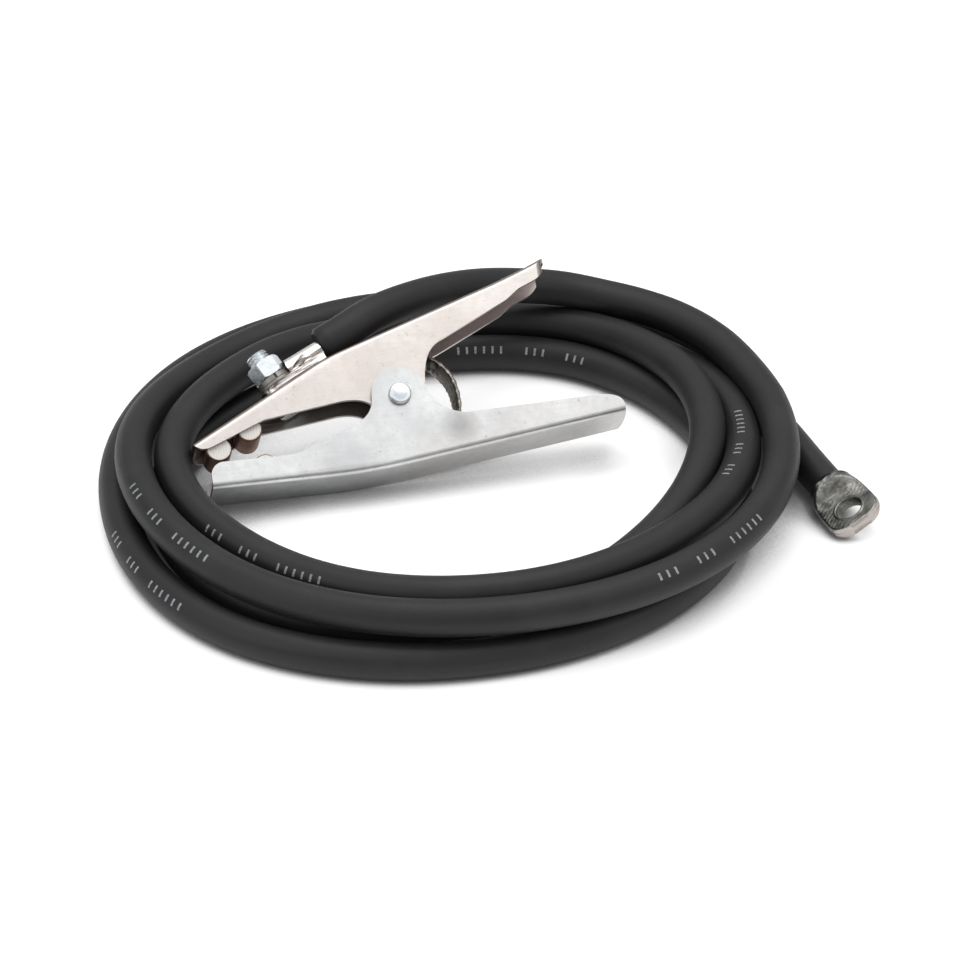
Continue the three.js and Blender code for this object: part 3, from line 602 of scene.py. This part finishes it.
def make_lead(mat):
    """The lead in two pieces: the free stretch from the clamp's lug to the coil, and the rest."""
    free_knots = clamp_stretch()
    tail_knots = lug_stretch()
    coil = [coil_point(b) for b in range(COIL_START, COIL_END + 1, COIL_STEP)]
    free = through(free_knots, 2 * free_knots[0] - free_knots[1], coil[4])
    tail_after = 2 * tail_knots[-1] - tail_knots[-2]
    tail = through(tail_knots, coil[-5], tail_after)
    free = spaced(free, LEAD_STEP)
    rest = spaced(coil + tail[1:], LEAD_STEP)

    free.insert(1, free[0].lerp(free[1], 0.4))
    stretch = lead_tube("lead_free_stretch", free, 0, True)
    place(stretch, mat, None, "lead_rubber", "lead_clamp_stretch")
    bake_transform(stretch)
    coiled = lead_tube("lead_coiled", rest, line_length(free))
    place(coiled, mat, "lower", "lead_rubber", "lead_coil", "lead_lug_stretch")


def refined(node, name, bevel, mat, slot, angle=35):
    """A CAD node's shape with its flat faces joined and its sharp edges rounded."""
    source = frame["nodes"][node]
    bm = bmesh.new()
    bm.from_mesh(source.data)
    bmesh.ops.remove_doubles(bm, verts=bm.verts, dist=2e-6)
    bmesh.ops.dissolve_limit(
        bm, angle_limit=math.radians(0.6), verts=bm.verts, edges=bm.edges,
        delimit={"NORMAL"},
    )
    piece = mesh_object(name, bm)
    edge = piece.modifiers.new("edge", "BEVEL")
    edge.width = bevel * MM
    edge.segments = 3
    edge.limit_method = "ANGLE"
    edge.angle_limit = math.radians(angle)
    edge.use_clamp_overlap = True
    edge.miter_outer = "MITER_ARC"
    weighted = piece.modifiers.new("weighted", "WEIGHTED_NORMAL")
    weighted.keep_sharp = True
    place(piece, mat, source["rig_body"], slot, node)


# ---------------------------------------------------------------- detailed pieces

def grid_surface(bm, rows, closed_rows=False):
    """Faces between rows of vertices of equal length, each row being a closed ring."""
    made = []
    count = len(rows[0])
    for i in range(len(rows) - (0 if closed_rows else 1)):
        here, ahead = rows[i], rows[(i + 1) % len(rows)]
        for j in range(count):
            k = (j + 1) % count
            made.append(bm.faces.new((here[j], ahead[j], ahead[k], here[k])))
    return made


def capped_surface(bm, rows):
    """The same with a face over the first and the last ring."""
    made = grid_surface(bm, rows)
    bm.faces.new(rows[0])
    bm.faces.new(rows[-1])
    return made


ROUND_SIDES = 40


def circle(bm, stand, centre_x, radius, height):
    """A ring of vertices round the z axis of a frame, or round a line beside it."""
    ring = []
    for j in range(ROUND_SIDES):
        angle = 2 * math.pi * j / ROUND_SIDES
        corner = Vector((centre_x + radius * math.cos(angle), radius * math.sin(angle), height))
        ring.append(bm.verts.new(stand @ corner))
    return ring


JAW_ANGLE = math.atan(0.535)                    # the upper jaw's slope in the clamp's flat frame
JAW_TIP = Vector((-95, -12.2, 0))
BOLT_ALONG = 50.4                               # from the jaw's tip to the terminal bolt
BOLT_TOP = 20.4
BOLT_RADIUS = 4.75
NUT_TOP = 15.8


def on_upper_jaw(along):
    """From a frame standing on the upper jaw (x along it, y away from it) to the row frame."""
    turn = Matrix.Rotation(JAW_ANGLE, 4, "Z")
    foot = JAW_TIP + turn @ Vector((along, 0, 0))
    return CLAMP @ Matrix.Translation(foot) @ turn


def bolt_thread():
    """The terminal bolt's helical thread above the nut, with its chamfered point."""
    pitch, depth, chamfer_height, steps = 1.59, 0.58, 0.9, 16
    low, high = NUT_TOP - 0.2, BOLT_TOP + 0.15
    crest = BOLT_RADIUS + 0.6
    stand = on_upper_jaw(BOLT_ALONG)
    bm = bmesh.new()
    rows = []
    levels = round((high - low) / pitch * steps)
    for i in range(levels + 1):
        height = low + (high - low) * i / levels
        ring = []
        for j in range(ROUND_SIDES):
            angle = 2 * math.pi * j / ROUND_SIDES
            phase = (height / pitch + j / ROUND_SIDES) % 1
            groove = depth * (1 - abs(2 * phase - 1))
            chamfer = max(0, height - (high - chamfer_height))
            radius = min(crest - groove, crest - chamfer)
            corner = Vector((radius * math.cos(angle), height, radius * math.sin(angle)))
            ring.append(bm.verts.new(stand @ corner))
        rows.append(ring)
    capped_surface(bm, rows)
    return mesh_object("bolt_thread", bm, smooth=False)


def rivet_face():
    """The rivet's near head: a rounded rim, a faint groove and a slightly domed middle."""
    profile = [
        (5.05, 14.85), (5.15, 15.6), (4.95, 16.4), (4.5, 16.85), (4.1, 16.98), (3.6, 16.9),
        (3.2, 16.95), (2.4, 17.1), (1.4, 17.2), (0.4, 17.25),
    ]
    bm = bmesh.new()
    capped_surface(bm, [circle(bm, CLAMP, 0, radius, height) for radius, height in profile])
    return mesh_object("rivet_head", bm)


# Middle line of the braided strap, in the clamp's flat frame.
BRAID_KNOTS = [
    (-24, 18.6), (-7, 22.8), (6, 22.6), (17.4, 17.6), (24.9, 8.8), (27.2, -1), (26.2, -10),
    (20.6, -18), (8.6, -24.6), (-8, -28.6), (-24, -30.9), (-38, -31), (-50, -31), (-57.6, -31),
]
BRAID_UNDER = 3.6                               # its middle below the upper jaw's outer face
BRAID_STEP = 0.5
BRAID_HALF_WIDTH = 7.1
BRAID_FLARE = 2.2                               # wider by this on each side behind the pivot
BRAID_FLARE_X = (12, 24)
BRAID_HALF_THICK = 1.0
WEAVE_RELIEF = 0.4
WEAVE_PITCH = 3.4


def braid_line():
    """The strap's middle line from under the bolt to the lower contact."""
    turn = Matrix.Rotation(JAW_ANGLE, 3, "Z")
    under = [
        JAW_TIP + turn @ Vector((BOLT_ALONG + step, -BRAID_UNDER, 0)) for step in (-9, 0, 9)
    ]
    knots = under + [Vector((x, y, 0)) for x, y in BRAID_KNOTS]
    before = 2 * knots[0] - knots[1]
    after = 2 * knots[-1] - knots[-2]
    return spaced(through(knots, before, after), BRAID_STEP)


def eased(value, low, high):
    """0 below low, 1 above high and a smooth rise between them."""
    t = min(1, max(0, (value - low) / (high - low)))
    return t * t * (3 - 2 * t)


def braid_piece():
    """Strap of plaited wire bundles: each bundle crosses over and under its neighbours."""
    line = braid_line()
    across = 44
    bm = bmesh.new()
    uv = bm.loops.layers.uv.new("UVMap")
    rows = []
    for i, centre in enumerate(line):
        ahead = (line[min(i + 1, len(line) - 1)] - line[max(i - 1, 0)]).normalized()
        out = Vector((-ahead.y, ahead.x, 0))
        run = BRAID_STEP * i
        half_width = BRAID_HALF_WIDTH + BRAID_FLARE * eased(centre.x, *BRAID_FLARE_X)
        ring = []
        for side in (1, -1):
            for j in range(across + 1):
                z = half_width * (2 * j / across - 1) * side
                slant = (run + abs(z) * 0.8) * 2 * math.pi / WEAVE_PITCH
                weave = math.sin(slant) * math.sin(z * 1.3 + run * 0.6)
                rounding = math.sqrt(max(0, 1 - (z / half_width) ** 8))
                thick = (BRAID_HALF_THICK + WEAVE_RELIEF * weave) * rounding
                corner = centre + out * side * thick + Vector((0, 0, z))
                ring.append(bm.verts.new(CLAMP @ corner))
        rows.append(ring)
    for face in capped_surface(bm, rows):
        for loop in face.loops:
            loop[uv].uv = (loop.vert.co.x, loop.vert.co.z)
    return mesh_object("braid", bm)


# The end lug's shape: millimetres from the jacket, half width, half height.
LUG_STATIONS = [
    (0, 10.5, 7.6), (0.8, 11, 7.9), (4, 11.4, 7.3), (7, 11.9, 5.9), (9.5, 12.3, 4.2),
    (12, 12.5, 3.1), (14.5, 12.7, 2.7), (20, 12.9, 2.7), (24, 12.9, 2.7), (26.5, 12.3, 2.8),
    (28.4, 11.2, 2.9), (30, 9.4, 3), (31, 7.4, 3), (31.6, 5, 2.9),
]
PALM_HOLE_X = 21
PALM_HOLE_RADIUS = 6.3
CRIMP_X = 8.5                                   # the middle of the hammered hollow
CRIMP_DEPTH = 0.9
SLIT_DEPTH = 0.55                               # between the palm's two layers
HAMMER_MARKS = 0.13


def lug_frame():
    """From the end lug's own frame in millimetres (x along it, z up from the palm)."""
    level = Vector((0, 0, 1)).cross(LUG_DIRECTION)
    side = Matrix.Rotation(LUG_ROLL, 3, LUG_DIRECTION) @ level
    up = LUG_DIRECTION.cross(side)
    turn = Matrix((LUG_DIRECTION, side, up)).transposed().to_4x4()
    return Matrix.Translation(in_row(*LUG_START)) @ turn @ Matrix.Scale(MM, 4)


def lug_half_sizes(distance):
    """The lug's half width and half height, straight between its stations."""
    for (x0, w0, h0), (x1, w1, h1) in zip(LUG_STATIONS, LUG_STATIONS[1:]):
        if distance <= x1:
            t = max(0, (distance - x0) / (x1 - x0))
            return w0 + (w1 - w0) * t, h0 + (h1 - h0) * t
    return LUG_STATIONS[-1][1:]


def lug_point(distance, angle):
    """A point on the lug's skin, with the hammered hollow in the crimp and the slit between
    the palm's two layers."""
    width, height = lug_half_sizes(distance)
    flatness = 0.1 + 0.9 * eased(distance, 2, 13)
    sine, cosine = math.sin(angle), math.cos(angle)
    rise = min(1, max(-1, (1 + 0.9 * flatness) * sine))
    reach = math.copysign(abs(cosine) ** (1 - 0.5 * flatness), cosine)
    hollow = CRIMP_DEPTH * math.exp(-((distance - CRIMP_X) / 2.2) ** 2) * max(0, sine) ** 2
    slit = SLIT_DEPTH * flatness * math.exp(-(rise * height / 0.28) ** 2)
    dents = math.sin(1.9 * distance + 3 * cosine) * math.sin(1.2 * width * cosine + distance)
    thick = height - hollow + HAMMER_MARKS * dents
    return Vector((distance, (width - slit) * reach, thick * rise))


def hole_ring():
    """A raised rim round the palm's hole, above and below."""
    profile = [(5.8, 2.0), (6.05, 2.8), (6.6, 3.05), (7.2, 2.9), (7.8, 2.5)]
    profile += [(radius, -height) for radius, height in reversed(profile)]
    stand = lug_frame()
    bm = bmesh.new()
    rows = [circle(bm, stand, PALM_HOLE_X, radius, height) for radius, height in profile]
    grid_surface(bm, rows, closed_rows=True)
    return mesh_object("palm_rim", bm)


def end_lug_piece():
    """The heavy terminal: crimped barrel, pinched neck and two-layered palm with its hole."""
    stand = lug_frame()
    bm = bmesh.new()
    sides, steps = 64, 62
    length = LUG_STATIONS[-1][0]
    angles = [2 * math.pi * j / sides for j in range(sides)]
    rows = []
    for i in range(steps + 1):
        distance = length * i / steps
        rows.append([bm.verts.new(stand @ lug_point(distance, angle)) for angle in angles])
    capped_surface(bm, rows)
    piece = mesh_object("end_lug_body", bm)
    cutter_mesh = bmesh.new()
    bmesh.ops.create_cone(
        cutter_mesh, cap_ends=True, segments=48, depth=20,
        radius1=PALM_HOLE_RADIUS, radius2=PALM_HOLE_RADIUS,
        matrix=stand @ Matrix.Translation((PALM_HOLE_X, 0, 0)),
    )
    cutter = mesh_object("hole_cutter", cutter_mesh)
    cut = piece.modifiers.new("hole", "BOOLEAN")
    cut.operation = "DIFFERENCE"
    cut.object = cutter
    bpy.context.view_layer.update()
    depsgraph = bpy.context.evaluated_depsgraph_get()
    done = bpy.data.meshes.new_from_object(piece.evaluated_get(depsgraph))
    piece.modifiers.clear()
    piece.data = done
    bpy.data.objects.remove(cutter)
    return piece


# ---------------------------------------------------------------- floor and light

SHADOW_REACH = 0.06                             # how far things darken the floor round them


def floor_material():
    """Plain white floor that glows evenly, but for painted shade close to what lies on it, which
    darkens its colour and its glow.
    """
    mat = material("floor_white")
    n = Nodes(mat)
    grain = n.noise(40, 2, 0.5)
    open_sky = n.add("ShaderNodeAmbientOcclusion", samples=8)
    open_sky.inputs["Distance"].default_value = SHADOW_REACH
    # painted shade: the floor's colour darkens and its glow drops where things close round it
    openness = n.remap(open_sky.outputs["AO"], 0.28, 0.46, 0, 1)
    pale = n.mix(grain, rgb(0.6, 0.6, 0.6), rgb(0.62, 0.62, 0.62))
    n.finish(
        n.mix(openness, rgb(0.28, 0.28, 0.28), pale), 0.8, 0.0,
        Emission_Color=rgb(1, 1, 1), Emission_Strength=n.remap(openness, 0, 1, 0.02, 0.52),
    )
    return mat


HORIZON = 0.3                                   # brightness of the room's walls
ZENITH = 1.0                                    # and of its ceiling


def make_stage():
    """The floor, and a room that is brighter overhead than at its walls."""
    bm = bmesh.new()
    bmesh.ops.create_grid(bm, x_segments=2, y_segments=2, size=6)
    floor = mesh_object("floor", bm, smooth=False)
    floor.data.materials.append(floor_material())

    world = bpy.data.worlds.new("studio")
    world.use_nodes = True
    nodes = world.node_tree.nodes
    links = world.node_tree.links
    outward = nodes.new("ShaderNodeTexCoord")
    parts = nodes.new("ShaderNodeSeparateXYZ")
    ramp = nodes.new("ShaderNodeValToRGB")
    links.new(outward.outputs["Generated"], parts.inputs[0])
    links.new(parts.outputs[2], ramp.inputs["Fac"])
    ramp.color_ramp.elements[0].color = rgb(*[HORIZON] * 3)
    ramp.color_ramp.elements[0].position = 0.05
    ramp.color_ramp.elements[1].color = rgb(*[ZENITH] * 3)
    ramp.color_ramp.elements[1].position = 0.75
    links.new(ramp.outputs["Color"], nodes["Background"].inputs["Color"])
    bpy.context.scene.world = world
    bpy.context.scene.view_settings.view_transform = "Standard"


def area_light(name, position, size, power):
    """A rectangular lamp that points at the clamp."""
    data = bpy.data.lights.new(name, "AREA")
    data.shape = "RECTANGLE"
    data.size, data.size_y = size
    data.energy = power
    lamp = bpy.data.objects.new(name, data)
    lamp.location = position
    lamp.rotation_euler = (-Vector(position)).to_track_quat("-Z", "Y").to_euler()
    bpy.context.scene.collection.objects.link(lamp)


def make_lights():
    area_light("top_light", (0.1, 0.2, 1.6), (1.6, 1.2), 11)
    area_light("left_light", (-1.4, -0.5, 0.9), (0.8, 1.0), 4.5)
    area_light("right_light", (1.3, -0.7, 0.8), (0.6, 0.9), 2.5)


# ---------------------------------------------------------------- build

make_camera()
TARNISHED = tarnished()
place(end_lug_piece(), TARNISHED, "lower", "tarnished_copper", "end_lug")
place(hole_ring(), TARNISHED, "lower", "tarnished_copper", "end_lug")
make_lead(rubber())

LOWER_ZINC = zinc(
    "lower_zinc", rgb(0.67, 0.68, 0.68), rgb(0.5, 0.51, 0.52), rgb(0.6, 0.56, 0.54), 0.33, 0.6,
)
UPPER_ZINC = zinc(
    "upper_zinc", rgb(0.65, 0.6, 0.57), rgb(0.54, 0.5, 0.47), rgb(0.55, 0.45, 0.41), 0.31,
)
PLATED = plain_metal("plated_steel", rgb(0.7, 0.74, 0.76), rgb(0.5, 0.54, 0.57), 0.28)
DULL = plain_metal("dull_steel", rgb(0.3, 0.28, 0.26), rgb(0.16, 0.15, 0.14), 0.4, 0.4)
SPRING = plain_metal("spring_steel", rgb(0.2, 0.21, 0.22), rgb(0.12, 0.12, 0.13), 0.4)
COPPER = sawn_copper()
WIRES = plain_metal("wires", rgb(0.3, 0.2, 0.15), rgb(0.1, 0.07, 0.05), 0.5, 0.6, 900)
BRAID = woven("braid", rgb(0.62, 0.58, 0.52), rgb(0.1, 0.092, 0.08))
TINNED = streaked_tin()

refined("lower_arm", "lower_arm_sheet", 0.45, LOWER_ZINC, "lower_zinc")
refined("upper_arm", "upper_arm_sheet", 0.45, UPPER_ZINC, "upper_zinc")
refined("pivot_rivet", "rivet", 0.3, PLATED, "plated_steel")
place(rivet_face(), PLATED, "lower", "plated_steel")
refined("spring_bushing", "bushing", 0.2, SPRING, "spring_steel")
refined("upper_contact_front", "front_contact", 0.25, COPPER, "copper")
refined("upper_contact_rear", "rear_contact", 0.25, COPPER, "copper")
refined("lower_contact", "lower_contact_rod", 0.25, COPPER, "copper")
strap = place(braid_piece(), BRAID, None, "braid", "braid_strap")
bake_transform(strap)
refined("torsion_spring", "spring", 0.1, SPRING, "spring_steel", 60)
refined("terminal_bolt", "bolt", 0.25, PLATED, "plated_steel")
place(bolt_thread(), PLATED, "upper", "plated_steel", "terminal_bolt")
refined("flat_washer", "washer", 0.25, DULL, "plated_steel")
refined("lock_washer", "split_washer", 0.2, DULL, "plated_steel")
refined("terminal_nut", "nut", 0.3, PLATED, "plated_steel")
refined("clamp_lug", "lug_on_clamp", 0.3, TINNED, "tinned_copper")
for kept in ("clamp_core", "end_core"):
    frame["nodes"][kept].data.materials.clear()
    frame["nodes"][kept].data.materials.append(WIRES)

make_stage()
make_lights()
